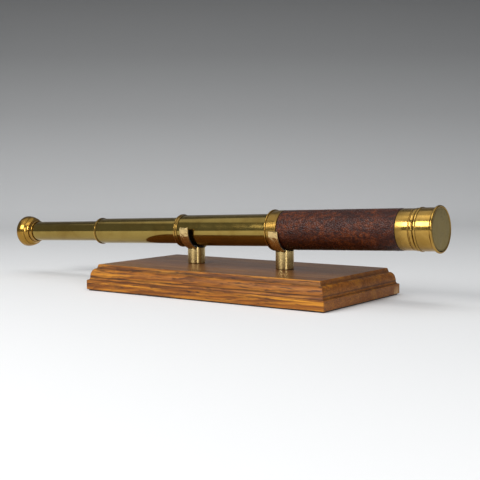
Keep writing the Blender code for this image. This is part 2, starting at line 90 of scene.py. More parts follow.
# =========================================================== node helpers
class Nodes:
    """Short calls for building one material's node tree."""

    def __init__(self, name):
        self.material = bpy.data.materials.new(name)
        self.material.use_nodes = True
        self.tree = self.material.node_tree
        self.shader = self.tree.nodes["Principled BSDF"]
        self.object = self.add("ShaderNodeTexCoord").outputs["Object"]

    def add(self, kind, **settings):
        node = self.tree.nodes.new(kind)
        for key, value in settings.items():
            setattr(node, key, value)
        return node

    def feed(self, socket, value):
        if isinstance(value, bpy.types.NodeSocket):
            self.tree.links.new(value, socket)
        else:
            socket.default_value = value

    def set(self, **values):
        for key, value in values.items():
            self.feed(self.shader.inputs[key.replace("_", " ")], value)

    def scaled(self, scale, turn=(0, 0, 0), shift=(0, 0, 0)):
        node = self.add("ShaderNodeMapping")
        self.feed(node.inputs["Vector"], self.object)
        node.inputs["Scale"].default_value = scale
        node.inputs["Rotation"].default_value = turn
        node.inputs["Location"].default_value = shift
        return node.outputs["Vector"]

    def noise(self, vector, scale, detail=3.0, rough=0.5, distort=0.0):
        node = self.add("ShaderNodeTexNoise")
        self.feed(node.inputs["Vector"], vector)
        node.inputs["Scale"].default_value = scale
        node.inputs["Detail"].default_value = detail
        node.inputs["Roughness"].default_value = rough
        node.inputs["Distortion"].default_value = distort
        return node.outputs["Fac"]

    def cells(self, vector, scale, feature="F1"):
        node = self.add("ShaderNodeTexVoronoi", feature=feature)
        self.feed(node.inputs["Vector"], vector)
        node.inputs["Scale"].default_value = scale
        return node.outputs["Distance"]

    def ramp(self, value, stops):
        node = self.add("ShaderNodeValToRGB")
        self.feed(node.inputs["Fac"], value)
        ramp = node.color_ramp.elements
        while len(ramp) < len(stops):
            ramp.new(0.5)
        for element, (place, grey) in zip(ramp, stops):
            element.position = place
            element.color = (grey, grey, grey, 1)
        return node.outputs["Color"]

    def mix(self, amount, first, second):
        node = self.add("ShaderNodeMix", data_type="RGBA")
        self.feed(node.inputs["Factor"], amount)
        for socket, value in ((node.inputs[6], first), (node.inputs[7], second)):
            if isinstance(value, tuple):
                value = (*value, 1)
            self.feed(socket, value)
        return node.outputs[2]

    def math(self, operation, first, second=0.0, third=0.0, clamp=False):
        node = self.add("ShaderNodeMath", operation=operation, use_clamp=clamp)
        for socket, value in zip(node.inputs, (first, second, third)):
            self.feed(socket, value)
        return node.outputs["Value"]

    def span(self, value, low, high, to_low=0.0, to_high=1.0):
        node = self.add("ShaderNodeMapRange", clamp=True)
        for key, number in zip(
            ("Value", "From Min", "From Max", "To Min", "To Max"),
            (value, low, high, to_low, to_high),
        ):
            self.feed(node.inputs[key], number)
        return node.outputs["Result"]

    def attribute(self, name):
        return self.add("ShaderNodeAttribute", attribute_name=name).outputs["Fac"]

    def axes(self, vector=None):
        node = self.add("ShaderNodeSeparateXYZ")
        self.feed(node.inputs[0], vector or self.object)
        return node.outputs

    def bump(self, height, strength, distance, normal=None):
        node = self.add("ShaderNodeBump")
        node.inputs["Strength"].default_value = strength
        node.inputs["Distance"].default_value = distance
        self.feed(node.inputs["Height"], height)
        if normal:
            self.feed(node.inputs["Normal"], normal)
        return node.outputs["Normal"]


# =========================================================== materials
def brass(name, clean, dull, roughness, tarnish, turned=True, dented=0.05):
    """Brass with smudges, fine tool lines, grooves darkened by patina and painted shade, and
    worn edges. Clean and dull are its two colours and tarnish how far the dull one spreads."""
    n = Nodes(name)
    clouds = n.noise(n.scaled((1, 1, 1)), 38, 5, 0.62, 0.4)
    specks = n.noise(n.scaled((1, 1, 1), shift=(3, 1, 2)), 420, 3, 0.6)
    drawn = n.noise(n.scaled((6, 160, 160)), 6, 3, 0.6)
    patina = n.span(clouds, 0.62 - tarnish, 0.95 - tarnish)
    fine = n.span(specks, 0.55, 0.75, 0.0, 0.35)
    colour = n.mix(patina, clean, dull)
    colour = n.mix(n.math("MULTIPLY", fine, patina), colour, tuple(c * 0.55 for c in dull))
    streak = n.span(drawn, 0.35, 0.7, 0.0, 0.22)
    colour = n.mix(streak, colour, tuple(c * 0.7 for c in clean))
    # Patina and painted shade: darker and rougher where the groove layer marks grooves, joins
    # and contacts.
    grime_and_painted_shade = n.span(n.attribute("groove"), 0.05, 1.0, 0.0, 0.92)
    colour = n.mix(grime_and_painted_shade, colour, (0.035, 0.02, 0.007))
    smear = n.noise(n.scaled((1, 1, 1), shift=(8, 4, 1)), 85, 4, 0.7, 0.8)
    shine = n.math("ADD", n.span(smear, 0.35, 0.75, roughness * 0.75, roughness * 1.5),
                   n.math("MULTIPLY", patina, roughness * 0.55))
    shine = n.math("ADD", shine, n.math("MULTIPLY", grime_and_painted_shade, 0.4), clamp=True)
    lines = n.scaled((900, 3, 3) if turned else (120, 700, 700))
    tooling = n.noise(lines, 1.0, 2, 0.5)
    scratch_field = n.noise(n.scaled((14, 420, 420), turn=(0.3, 0.1, 0.05)), 1.6, 2, 0.6)
    scratch = n.span(scratch_field, 0.66, 0.74)
    dents = n.noise(n.scaled((1, 1, 1), shift=(2, 2, 9)), 55, 2, 0.5)
    normal = n.bump(dents, dented, 0.0006)
    normal = n.bump(tooling, 0.05, 0.00006, normal)
    normal = n.bump(scratch, 0.05, 0.00004, normal)
    n.set(Base_Color=colour, Roughness=shine, Normal=normal, Metallic=1.0)
    return n.material


def brush_upright(look):
    """Tool marks round an upright piece draw its reflections out up and down."""
    shader = look.node_tree.nodes["Principled BSDF"]
    shader.inputs["Anisotropic"].default_value = 0.8
    shader.inputs["Anisotropic Rotation"].default_value = 0.25


def leather():
    """Dark red-brown goatskin: pebbled grain, worn paler patches and creases, and painted shade
    darkening its underside.
    """
    n = Nodes("leather")
    spread = n.scaled((0.8, 1, 1))
    patches = n.noise(spread, 42, 4, 0.6, 0.8)
    mottle = n.noise(n.scaled((0.7, 1, 1), shift=(5, 1, 1)), 210, 5, 0.72, 0.5)
    pebble = n.cells(spread, 480)
    crease = n.cells(spread, 480, "DISTANCE_TO_EDGE")
    grain = n.noise(spread, 1300, 3, 0.6)
    colour = n.mix(n.span(patches, 0.36, 0.66), (0.050, 0.0085, 0.0022),
                   (0.150, 0.031, 0.0050))
    colour = n.mix(n.span(mottle, 0.42, 0.60, 0.0, 0.9), colour, (0.018, 0.0035, 0.002))
    bright = n.math("MULTIPLY", n.span(mottle, 0.48, 0.36), n.span(patches, 0.4, 0.56))
    colour = n.mix(n.math("MULTIPLY", bright, 0.5), colour, (0.21, 0.052, 0.010))
    colour = n.mix(n.span(crease, 0.0, 0.14, 0.6, 0.0), colour, (0.014, 0.004, 0.003))
    colour = n.mix(n.attribute("groove"), colour, (0.014, 0.005, 0.003))
    # Painted shade: the cover is painted darker towards its underside.
    underside = n.span(n.axes()[2], -0.004, -0.024, 0.0, 0.8)
    colour = n.mix(underside, colour, (0.012, 0.0015, 0.001))
    height = n.math("ADD", n.math("MULTIPLY", pebble, -0.9), n.math("MULTIPLY", grain, 0.5))
    height = n.math("ADD", height, n.math("MULTIPLY", n.span(crease, 0, 0.2), 0.5))
    normal = n.bump(mottle, 0.3, 0.0006)
    normal = n.bump(height, 0.55, 0.0005, normal)
    shine = n.span(mottle, 0.35, 0.7, 0.24, 0.36)
    n.set(Base_Color=colour, Roughness=shine, Normal=normal)
    n.set(Specular_IOR_Level=0.24)
    return n.material


def oak():
    """Waxed oak. The growth rings run along X round a centre well below the
    board, so the ends show arcs and the sides show streaks and open pores."""
    n = Nodes("oak")
    x, y, z = n.axes()
    warp = n.noise(n.scaled((6, 24, 24)), 1.0, 3, 0.55)
    lean = n.math("MULTIPLY_ADD", x, 0.10, y)
    depth = n.math("ADD", z, 0.115)
    radius = n.math("SQRT", n.math("ADD", n.math("MULTIPLY", lean, lean),
                                   n.math("MULTIPLY", depth, depth)))
    radius = n.math("MULTIPLY_ADD", warp, 0.024, radius)
    rings = n.math("FRACT", n.math("MULTIPLY", radius, 240.0))
    late = n.span(rings, 0.30, 1.0)
    fibre = n.noise(n.scaled((9, 520, 520)), 1.0, 5, 0.7)
    broad = n.noise(n.scaled((7, 95, 130), shift=(4, 0, 2)), 1.0, 3, 0.6, 0.5)
    pore_field = n.noise(n.scaled((70, 1100, 1100), shift=(1, 7, 3)), 1.0, 2, 0.5)
    pores = n.math("MULTIPLY", n.span(pore_field, 0.58, 0.66), n.span(rings, 0.85, 0.15))
    streaks = n.noise(n.scaled((34, 560, 700), shift=(2, 5, 8)), 1.0, 3, 0.62, 0.35)
    clusters = n.noise(n.scaled((9, 60, 90), shift=(5, 5, 1)), 1.0, 3, 0.6, 0.4)
    dashes = n.math("MULTIPLY", n.span(streaks, 0.53, 0.595), n.span(clusters, 0.38, 0.58))
    colour = n.mix(late, (0.42, 0.142, 0.012), (0.175, 0.048, 0.005))
    colour = n.mix(n.span(broad, 0.47, 0.66), colour, (0.70, 0.285, 0.024))
    colour = n.mix(n.span(broad, 0.46, 0.30), colour, (0.150, 0.045, 0.006))
    colour = n.mix(n.span(fibre, 0.42, 0.66, 0.0, 0.6), colour, (0.130, 0.036, 0.005))
    colour = n.mix(n.math("MULTIPLY", dashes, 0.93), colour, (0.026, 0.010, 0.006))
    colour = n.mix(n.math("MULTIPLY", pores, 0.8), colour, (0.022, 0.009, 0.004))
    normal_axes = n.axes(n.add("ShaderNodeNewGeometry").outputs["Normal"])
    top = n.span(normal_axes[2], 0.85, 0.98)
    aged = n.noise(n.scaled((4, 9, 9), shift=(6, 6, 6)), 3.0, 4, 0.6)
    wax = n.math("MULTIPLY", top, n.span(aged, 0.3, 0.7, 0.6, 0.85))
    colour = n.mix(wax, colour, n.mix(n.span(fibre, 0.38, 0.68), (0.170, 0.076, 0.028),
                                      (0.076, 0.030, 0.012)))
    across = n.span(n.math("ABSOLUTE", normal_axes[0]), 0.5, 0.9)
    end_pores = n.noise(n.scaled((300, 1500, 620), turn=(0.35, 0, 0)), 1.0, 2, 0.5)
    end_tone = n.mix(n.span(end_pores, 0.50, 0.64), (0.27, 0.088, 0.014),
                     (0.070, 0.022, 0.005))
    colour = n.mix(n.math("MULTIPLY", across, 0.62), colour, end_tone)
    flecks = n.cells(n.scaled((1, 1, 1)), 62)
    rare = n.noise(n.scaled((1, 1, 1), shift=(9, 2, 2)), 17, 2, 0.5)
    nick = n.math("MULTIPLY", n.span(flecks, 0.055, 0.035), n.span(rare, 0.52, 0.56))
    bare = n.math("MAXIMUM", n.attribute("bare"), n.math("MULTIPLY", nick, top))
    colour = n.mix(bare, colour, (0.62, 0.40, 0.20))
    # Painted shade and painted dark reflection along the moulding's fillet and ledges.
    grime_and_painted_shade = n.attribute("groove")
    colour = n.mix(n.math("MULTIPLY", grime_and_painted_shade, 0.8), colour, (0.040, 0.013, 0.004))
    height = n.math("SUBTRACT", n.math("MULTIPLY", fibre, 0.5), pores)
    height = n.math("SUBTRACT", height, n.math("MULTIPLY", dashes, 0.6))
    normal = n.bump(height, 0.42, 0.00025)
    normal = n.bump(broad, 0.2, 0.0006, normal)
    rough = n.span(fibre, 0.35, 0.7, 0.42, 0.56)
    rough = n.math("SUBTRACT", rough, n.math("MULTIPLY", top, 0.14))
    rough = n.math("ADD", rough, n.math("MULTIPLY", bare, 0.3), clamp=True)
    n.set(Base_Color=colour, Roughness=rough, Normal=normal)
    n.set(Specular_IOR_Level=0.28)
    return n.material


def felt(name, colour, pale):
    """Short-napped wool cloth, rubbed paler in places."""
    n = Nodes(name)
    tufts = n.noise(n.scaled((1, 1, 1)), 1400, 4, 0.7, 0.5)
    worn = n.noise(n.scaled((1, 1, 1)), 120, 3, 0.6)
    fibre = n.noise(n.scaled((1, 5, 1), turn=(0.4, 0.3, 0.8)), 900, 3, 0.6)
    shade = n.mix(n.span(tufts, 0.35, 0.7), colour, pale)
    shade = n.mix(n.span(worn, 0.5, 0.75, 0.0, 0.4), shade, pale)
    height = n.math("ADD", tufts, fibre)
    n.set(Base_Color=shade, Roughness=0.95, Normal=n.bump(height, 0.8, 0.0004))
    n.set(Sheen_Weight=0.12, Sheen_Roughness=0.6)
    return n.material


def glass(name, tint):
    """A coated lens: clear, with faint dust and a cool reflection."""
    n = Nodes(name)
    dust = n.noise(n.scaled((1, 1, 1)), 900, 4, 0.7)
    haze = n.noise(n.scaled((1, 1, 1)), 60, 3, 0.6)
    rough = n.math("ADD", n.span(dust, 0.62, 0.75, 0.0, 0.12),
                   n.span(haze, 0.4, 0.8, 0.01, 0.05))
    n.set(Base_Color=(*tint, 1), Roughness=rough, IOR=1.52, Transmission_Weight=1.0)
    n.set(Coat_Weight=0.3, Coat_Roughness=0.02)
    n.set(Normal=n.bump(dust, 0.03, 0.00005))
    return n.material


def blackened():
    """Brass blackened inside the tubes, with the metal showing where it wore."""
    n = Nodes("blackened_brass")
    worn = n.noise(n.scaled((1, 1, 1)), 160, 4, 0.65)
    rings = n.noise(n.scaled((1500, 8, 8)), 1.0, 2, 0.5)
    colour = n.mix(n.span(worn, 0.58, 0.75), (0.012, 0.011, 0.010), (0.09, 0.065, 0.03))
    n.set(Base_Color=colour, Roughness=n.span(worn, 0.3, 0.8, 0.5, 0.7))
    n.set(Metallic=0.5, Normal=n.bump(rings, 0.3, 0.0001))
    return n.material


POLISHED = brass("polished_brass", (0.50, 0.30, 0.070), (0.32, 0.175, 0.032), 0.14, 0.16)
AGED = brass("aged_brass", (0.42, 0.235, 0.045), (0.27, 0.135, 0.020), 0.17, 0.20)
TUBE_BRASS = brass("drawn_tube_brass", (0.35, 0.245, 0.064), (0.265, 0.165, 0.036), 0.12,
                   0.18)
CAP_FACE = brass("satin_brass", (0.45, 0.34, 0.13), (0.36, 0.27, 0.10), 0.34, 0.16)
FORGED = brass("forged_brass", (0.70, 0.50, 0.22), (0.42, 0.25, 0.075), 0.24, 0.14, False)
POST_BRASS = brass("post_brass", (0.64, 0.47, 0.20), (0.42, 0.29, 0.10), 0.26, 0.14, False,
                   0.015)
brush_upright(POST_BRASS)
LEATHER, OAK, BLACKENED = leather(), oak(), blackened()
BLACK_FELT = felt("black_felt", (0.006, 0.006, 0.007), (0.022, 0.020, 0.019))
# Near-black cloth under the board; its dark edge also stands as a painted contact shadow line
# under the board.
BAIZE_AND_PAINTED_SHADOW = felt("baize_and_painted_shadow", (0.008, 0.009, 0.008), (0.03, 0.032, 0.03))
LENS = glass("lens_glass", (0.96, 0.98, 0.97))


# =========================================================== shape helpers
def finish_mesh(name, mesh, look, body, replaced, place=None, sharp=32):
    """Put a mesh in the scene as a piece of its body, in place of CAD nodes."""
    mesh.shade_smooth()
    mesh.set_sharp_from_angle(angle=math.radians(sharp))
    made = bpy.data.objects.new(name, mesh)
    bpy.context.scene.collection.objects.link(made)
    mesh.materials.append(look)
    if place is not None:
        made.matrix_world = place
    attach(made, body)
    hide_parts(*replaced)


def mesh_of(shape, name):
    """The finished mesh of a bmesh, with its faces pointing out."""
    bmesh.ops.recalc_face_normals(shape, faces=shape.faces)
    mesh = bpy.data.meshes.new(name)
    shape.to_mesh(mesh)
    shape.free()
    return mesh


def bridge(shape, loops):
    """Skin a row of loops that all have the same number of vertices."""
    count = len(loops[0])
    for first, second in zip(loops, loops[1:]):
        for k in range(count):
            n = (k + 1) % count
            shape.faces.new([first[k], first[n], second[n], second[k]])


def eased(profile, radius, closed, steps=4):
    """A section with its corners rounded. Each entry is (x, r) or (x, r, own
    radius). Points just outside every round keep the flats beside it flat."""
    count = len(profile)
    points = []
    for i, entry in enumerate(profile):
        here = Vector(entry[:2])
        if not closed and i in (0, count - 1):
            points.append(tuple(here))
            continue
        before = Vector(profile[i - 1][:2])
        after = Vector(profile[(i + 1) % count][:2])
        own = entry[2] if len(entry) > 2 else radius
        back, ahead = before - here, after - here
        turn = back.angle(ahead, math.pi)
        if turn > math.radians(176) or own < 0.005:
            points.append(tuple(here))
            continue
        reach = min(own, back.length * 0.45, ahead.length * 0.45)
        start = here + back.normalized() * reach
        end = here + ahead.normalized() * reach
        pad = min(0.12, back.length * 0.04, ahead.length * 0.04)
        points.append(tuple(start + back.normalized() * pad))
        for k in range(steps + 1):
            t = k / steps
            spot = start * (1 - t) ** 2 + here * 2 * t * (1 - t) + end * t * t
            points.append(tuple(spot))
        points.append(tuple(end + ahead.normalized() * pad))
    return points


def groove_amount(points, grooves):
    """How dark each section point is to be, as dirt and painted shade: 1 at the middle of a
    groove.
    """
    dirt_and_painted_shade = []
    for x, r in points:
        near = [1 - math.dist((x, r), (gx, gr)) / reach for gx, gr, reach in grooves]
        dirt_and_painted_shade.append(max([0.0] + near))
    return dirt_and_painted_shade


def lathe(name, profile, look, body, replaced, radius=0.25, closed=True,
          grooves=(), place=TELESCOPE, sides=ROUND):
    """A turned piece from a (station, radius) section in millimetres."""
    points = eased(profile, radius, closed)
    # Dirt and painted shade, darkest at the listed grooves and joins.
    dirt_and_painted_shade = groove_amount(points, grooves)
    turn = np.linspace(0, 2 * math.pi, sides, endpoint=False)
    shape = bmesh.new()
    layer = shape.verts.layers.float.new("groove")
    rings = []
    for (x, r), dark in zip(points, dirt_and_painted_shade):
        if r < 1e-6:
            ring = [shape.verts.new((x * MM, 0, 0))]
        else:
            ring = [
                shape.verts.new((x * MM, r * MM * math.cos(a), r * MM * math.sin(a)))
                for a in turn
            ]
        for vertex in ring:
            vertex[layer] = dark
        rings.append(ring)
    following = rings[1:] + rings[:1] if closed else rings[1:]
    for first, second in zip(rings, following):
        for k in range(sides):
            n = (k + 1) % sides
            corners = [first[k % len(first)], first[n % len(first)],
                       second[n % len(second)], second[k % len(second)]]
            shape.faces.new(list(dict.fromkeys(corners)))
    finish_mesh(name, mesh_of(shape, name), look, body, replaced, place)


def arc(centre, rx, ry, start, end, steps):
    """Points of an elliptical arc in a section, kept sharp by own radius 0."""
    turn = np.radians(np.linspace(start, end, steps + 1))
    return [(centre[0] + rx * math.cos(a), centre[1] + ry * math.sin(a), 0.0)
            for a in turn]


def sleeve(name, rear, front, outside, inside, look, body, slot, replaced):
    """A plain tube with slightly rounded ends."""
    profile = [(rear, outside), (front, outside), (front, inside), (rear, inside)]
    lathe(name, profile, look, body, replaced, radius=0.2)


# =========================================================== stand
def rectangle_loop(half_x, half_y, corner, along, across):
    """Points round a rectangle with slightly rounded corners, from its front
    left, always the same number in the same order."""
    points, round_steps = [], 5
    ends = [(-1, -1, 180), (1, -1, 270), (1, 1, 0), (-1, 1, 90)]
    for index, (sx, sy, start) in enumerate(ends):
        cx, cy = sx * (half_x - corner), sy * (half_y - corner)
        for k in range(round_steps + 1):
            a = math.radians(start + 90 * k / round_steps)
            points.append((cx + corner * math.cos(a), cy + corner * math.sin(a)))
        nsx, nsy, _ = ends[(index + 1) % 4]
        steps = along if sy == nsy else across
        turn = math.radians(start + 90)
        x0, y0 = cx + corner * math.cos(turn), cy + corner * math.sin(turn)
        nx, ny = nsx * (half_x - corner), nsy * (half_y - corner)
        x1, y1 = nx + corner * math.cos(turn), ny + corner * math.sin(turn)
        for k in range(1, steps):
            points.append((x0 + (x1 - x0) * k / steps, y0 + (y1 - y0) * k / steps))
    return points


def plinth_section():
    """(inset, height) of the moulding from the underside to the flat top."""
    ledge_inset, ledge_height = 9.6, STAND_HEIGHT - 5.3
    meet_inset, meet_height = 3.4, 17.8
    foot_inset, foot_height = 1.4, 14.3
    section = [(6.0, PLINTH_BOTTOM), (0.0, PLINTH_BOTTOM, 1.0),
               (0.0, foot_height - 0.4, 0.6), (foot_inset, foot_height + 0.1, 0.2)]
    for k in range(1, 11):
        a = math.pi / 2 * k / 10
        section.append((foot_inset + (meet_inset - foot_inset) * math.sin(a),
                        foot_height + (meet_height - foot_height) * (1 - math.cos(a)),
                        0.0))
    for k in range(1, 13):
        a = math.pi / 2 * k / 12
        section.append((meet_inset + (ledge_inset - meet_inset) * (1 - math.cos(a)),
                        meet_height + (ledge_height - meet_height) * math.sin(a), 0.0))
    section += [(ledge_inset + 0.5, ledge_height + 0.4, 0.3),
                (11.5, STAND_HEIGHT, 0.8)]
    return section


def build_plinth():
    section = eased(plinth_section() + [(13.5, STAND_HEIGHT)], 0.4, False, 4)
    for inset in (16, 22, 32, 46, 62, 78, 90):
        section.append((inset, STAND_HEIGHT))
    # Painted shade and painted reflection: the sloping fillet under the top is painted darker
    # as a dark reflection, and the two ledges as shadow lines.
    crevices = [(10.4, STAND_HEIGHT - 3.6, 3.2), (1.7, 14.8, 1.5), (3.4, 17.8, 1.2)]
    dirt_and_painted_shade = groove_amount(section, crevices)
    shape = bmesh.new()
    groove = shape.verts.layers.float.new("groove")
    bare = shape.verts.layers.float.new("bare")
    chip = Vector((PLINTH_LENGTH / 2, PLINTH_WIDTH / 2 - 9.0, PLINTH_BOTTOM + 3.0))
    loops = []
    for (inset, height), dark in zip(section, dirt_and_painted_shade):
        corner = max(0.25, 0.9 - inset * 0.05)
        loop = []
        for x, y in rectangle_loop(PLINTH_LENGTH / 2 - inset, PLINTH_WIDTH / 2 - inset,
                                   corner, BOARD_LONG, BOARD_SHORT):
            spot = Vector((x, y, height))
            inward = Vector((-x / PLINTH_LENGTH, -y / PLINTH_WIDTH, 0))
            wobble = noise.noise(spot * 0.045) * 0.5 + noise.noise(spot * 0.21) * 0.5
            ding = max(0.0, noise.noise(spot * 0.11 + Vector((7, 3, 1))) - 0.42) * 2.2
            edge = 1.0 if 0.5 < inset < 12.5 or height < 15 else 0.15
            depth = (0.10 + 0.10 * wobble + ding * 0.55) * edge
            if height > STAND_HEIGHT - 0.01:
                spot.z -= 0.05 + 0.05 * wobble
            away = spot - chip
            scar = max(0.0, 1 - Vector((away.x * 0.25, away.y / 9, away.z / 3.4)).length)
            ragged = scar * (0.7 + 0.6 * noise.noise(spot * 0.6))
            depth += 1.3 * max(0.0, ragged)
            spot += inward.normalized() * depth
            if height <= PLINTH_BOTTOM + 0.01:
                spot.z = PLINTH_BOTTOM
            vertex = shape.verts.new(spot * MM)
            vertex[groove] = dark
            vertex[bare] = min(1.0, max(0.0, ragged * 3.5))
            loop.append(vertex)
        loops.append(loop)
    bridge(shape, loops)
    shape.faces.new(loops[-1])
    shape.faces.new(list(reversed(loops[0])))
    finish_mesh("oak_board", mesh_of(shape, "oak_board"), OAK, "stand",
                ("plinth",), sharp=50)


def u_path(radius, centre, top):
    """(y, z, normal y, normal z) down one arm of a U, round and up the other."""
    spots, arm_steps, bend_steps = [], 10, 72
    for k in range(arm_steps):
        z = top - (top - centre) * k / arm_steps
        spots.append((-radius, z, -1.0, 0.0))
    for k in range(bend_steps + 1):
        a = math.pi + math.pi * k / bend_steps
        spots.append((radius * math.cos(a), centre + radius * math.sin(a),
                      math.cos(a), math.sin(a)))
    for k in range(arm_steps - 1, -1, -1):
        z = top - (top - centre) * k / arm_steps
        spots.append((radius, z, 1.0, 0.0))
    return spots


def build_band(name, at_x, inside, thick, width, centre, top, look, node, uneven):
    """A bent strap: a rounded section swept along a U, hand-dressed all over."""
    middle = inside + thick / 2
    half, deep = width / 2, thick / 2
    rounding = deep * 0.8
    section = []
    for sx, sn, start in ((1, 1, 0), (-1, 1, 90), (-1, -1, 180), (1, -1, 270)):
        for k in range(5):
            a = math.radians(start + 90 * k / 4)
            section.append((sx * (half - rounding) + rounding * math.cos(a),
                            sn * (deep - rounding) + rounding * math.sin(a)))
    wide = []
    for index, (x, d) in enumerate(section):
        wide.append((x, d))
        nx = section[(index + 1) % len(section)][0]
        if abs(nx - x) > half:
            wide += [(x + (nx - x) * k / 12, d) for k in range(1, 12)]
    shape = bmesh.new()
    layer = shape.verts.layers.float.new("groove")
    path = u_path(middle, centre, top - deep)
    crowns = [(deep * math.sin(math.radians(a)), math.cos(math.radians(a)))
              for a in (80, 60, 40, 20)]
    stops = [(path[0], rise, shrink) for rise, shrink in crowns]
    stops += [(spot, 0.0, 1.0) for spot in path]
    stops += [(path[-1], rise, shrink) for rise, shrink in reversed(crowns)]
    loops = []
    for (y, z, ny, nz), rise, shrink in stops:
        loop = []
        for x, d in wide:
            taper = 1 - (1 - shrink) * 0.35
            spot = Vector((at_x + x * taper, y + ny * d * shrink, z + nz * d * shrink))
            spot.z += rise
            beaten = noise.noise(spot * 0.33 + Vector((at_x, 0, 0))) * uneven
            if d > 0:
                spot += Vector((0, ny, nz)) * min(0.0, beaten - uneven * 0.35)
            vertex = shape.verts.new(spot * MM)
            # Painted shade on the strap's inner face, towards the lining.
            vertex[layer] = 0.12 if d < -deep * 0.5 else 0.0
            loop.append(vertex)
        loops.append(loop)
    bridge(shape, loops)
    shape.faces.new(loops[0])
    shape.faces.new(loops[-1])
    finish_mesh(name, mesh_of(shape, name), look, "stand", (node,), sharp=60)


def build_post(side, at_x, centre):
    """A turned post whose top is filed to the strap and, beside it, to the bore."""
    bottom = STAND_HEIGHT + GAP
    seat_half = STRAP_WIDTH / 2 + GAP
    seat = BORE_RADIUS + LINING_THICK + GAP + STRAP_THICK + GAP

    def top_height(x, y):
        radius = seat if abs(x) < seat_half else BORE_RADIUS
        return min(EAR_TOP, centre - math.sqrt(radius * radius - y * y))

    sides, shape = 96, bmesh.new()
    layer = shape.verts.layers.float.new("groove")
    turn = [2 * math.pi * k / sides for k in range(sides)]
    loops = []
    heights = [0.0, 0.004, 0.012, 0.03, 0.06, 0.5, 0.9, 0.97, 0.99, 1.0]
    for share in heights:
        loop = []
        for a in turn:
            top = top_height((POST_RADIUS - 0.3) * math.cos(a),
                             (POST_RADIUS - 0.3) * math.sin(a))
            z = bottom + (top - bottom) * share
            ease = 0.45 * max(0.0, 1 - (z - bottom) / 0.5) ** 2
            ease += 0.3 * max(0.0, 1 - (top - z) / 0.35) ** 2
            r = POST_RADIUS - ease
            vertex = shape.verts.new(Vector((at_x + r * math.cos(a),
                                             r * math.sin(a), z)) * MM)
            # Painted shade at the foot of the post, where it stands on the board.
            vertex[layer] = max(0.0, 1 - (z - bottom) / 1.1) * 0.8
            loop.append(vertex)
        loops.append(loop)
    for share in (0.93, 0.85, 0.76, 0.67, 0.655, 0.64, 0.6, 0.5, 0.4, 0.3, 0.2, 0.1):
        loop = []
        for a in turn:
            r = POST_RADIUS * share
            x, y = r * math.cos(a), r * math.sin(a)
            vertex = shape.verts.new(Vector((at_x + x, y, top_height(x, y))) * MM)
            # Painted shade over the filed top, under the strap.
            vertex[layer] = 0.5
            loop.append(vertex)
        loops.append(loop)
    bridge(shape, loops)
    shape.faces.new(loops[-1])
    shape.faces.new(list(reversed(loops[0])))
    name = "post_turned_" + side
    finish_mesh(name, mesh_of(shape, name), POST_BRASS, "stand",
                ("post_" + side,), sharp=38)


def build_stand():
    build_plinth()
    for side, sign, rests in (("left", -1, DRAW_3_LIP_RADIUS),
                              ("right", 1, BARREL_DRUM)):
        at_x = sign * POST_HALF_SPACING
        axis = AXIS_HEIGHT + (at_x - POST_RADIUS) * math.tan(TILT)
        centre = axis - rests / math.cos(TILT) - GAP + BORE_RADIUS
        build_post(side, at_x, centre)
        build_band("strap_" + side, at_x, BORE_RADIUS + LINING_THICK + GAP, STRAP_THICK,
                   STRAP_WIDTH, centre, ARM_TOP, FORGED,
                   "cradle_" + side, 0.35)
        build_band("lining_" + side, at_x, BORE_RADIUS, LINING_THICK, LINING_WIDTH,
                   centre, ARM_TOP - 2, BLACK_FELT, "cradle_lining_" + side, 0.08)


# =========================================================== telescope
def build_leather():
    """The cover, wrapped and sewn edge to edge along the back, with a slightly
    lifted hem at each end and a skin that follows the hand's wear."""
    rows, sides = 150, 240
    thick = 1.35
    shape = bmesh.new()
    layer = shape.verts.layers.float.new("groove")
    seam_at = math.radians(-205)

    def radius_at(x, a, outer):
        if not outer:
            return LEATHER_RADIUS - thick
        spot = Vector((x * 0.16, math.cos(a) * 4.0, math.sin(a) * 4.0))
        skin = 0.14 * noise.noise(spot) + 0.07 * noise.noise(spot * 3.1)
        away = abs((a - seam_at + math.pi) % (2 * math.pi) - math.pi) * LEATHER_RADIUS
        seam = 0.30 * math.exp(-(away / 0.5) ** 2)
        stitch = 0.10 * math.exp(-((away - 1.6) / 0.5) ** 2) * (
            0.5 + 0.5 * math.cos(2 * math.pi * x / 3.2))
        hem = min(x - LEATHER_REAR, LEATHER_FRONT - x)
        turned_down = 0.35 * max(0.0, 1 - hem / 0.9) ** 2
        return LEATHER_RADIUS - 0.22 + skin - seam - stitch - turned_down

    turn = [2 * math.pi * k / sides for k in range(sides)]
    stations = [LEATHER_REAR, LEATHER_REAR + 0.3, LEATHER_REAR + 0.7]
    inner_rows = np.linspace(LEATHER_REAR + 1.2, LEATHER_FRONT - 1.2, rows)
    stations += list(inner_rows) + [LEATHER_FRONT - 0.7, LEATHER_FRONT - 0.3,
                                    LEATHER_FRONT]
    loops = []
    for outer in (True, False):
        for x in stations if outer else (LEATHER_FRONT, LEATHER_REAR):
            loop = []
            for a in turn:
                r = radius_at(x, a, outer)
                ragged = 0.35 * noise.noise(Vector((math.cos(a), math.sin(a), x)) * 3.0)
                near_end = max(0.0, 1 - (LEATHER_FRONT - x) / 3.0)
                far_end = max(0.0, 1 - (x - LEATHER_REAR) / 3.0)
                shift = -abs(ragged) * near_end + abs(ragged) * far_end
                vertex = shape.verts.new(Vector((x + shift, r * math.cos(a),
                                                 r * math.sin(a))) * MM)
                hem = min(x - LEATHER_REAR, LEATHER_FRONT - x)
                vertex[layer] = max(0.0, 0.8 * (1 - hem / 1.2))
                loop.append(vertex)
            loops.append(loop)
    bridge(shape, loops + loops[:1])
    finish_mesh("leather_cover", mesh_of(shape, "leather_cover"), LEATHER, "barrel",
                ("barrel_leather",), TELESCOPE, 60)


